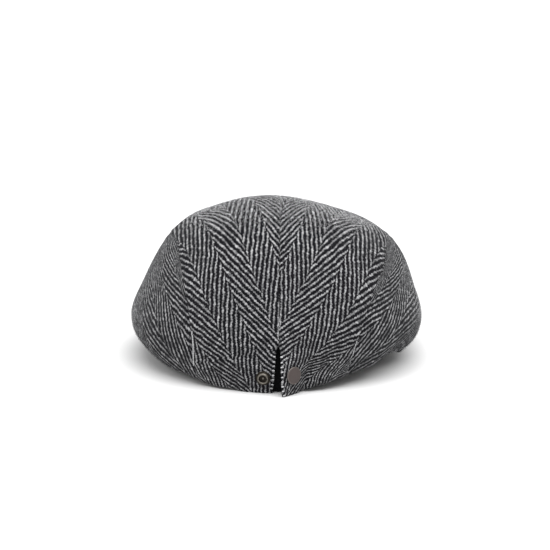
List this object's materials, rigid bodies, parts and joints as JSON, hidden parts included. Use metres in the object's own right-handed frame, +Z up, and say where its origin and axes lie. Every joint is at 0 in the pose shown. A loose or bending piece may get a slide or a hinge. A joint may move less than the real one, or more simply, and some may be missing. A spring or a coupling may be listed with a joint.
{
  "type": "flat cap",
  "caption": "Herringbone cloth flat cap with a low rounded crown sewn from panels, a short stiff peak, a black sweatband and a back slit closed by a press snap, here undone.",
  "frame": {"origin": "on the surface that the cap rests on, below the middle of its overall length and width", "axes": "+Z up, +Y from the back slit towards the peak, +X towards the wearer's right side"},
  "size_m": [0.2066, 0.266, 0.1176],
  "materials": {
    "tweed": "woolly black and light grey herringbone weave",
    "peak_tweed": "the same herringbone weave drawn smooth over a stiff core",
    "black_cloth": "matt black ribbed cloth",
    "aged_brass": "dark antiqued brass with brighter worn edges",
    "brown_metal": "smooth satin brown-grey coating with a thin light rim"
  },
  "bodies": {
    "root": {"top_panel_left": "tweed", "top_panel_right": "tweed", "side_panel_left": "tweed", "side_panel_right": "tweed", "peak": "peak_tweed", "sweatband": "black_cloth", "snap_stud": "aged_brass", "snap_cap": "brown_metal"}
  },
  "joints": []
}
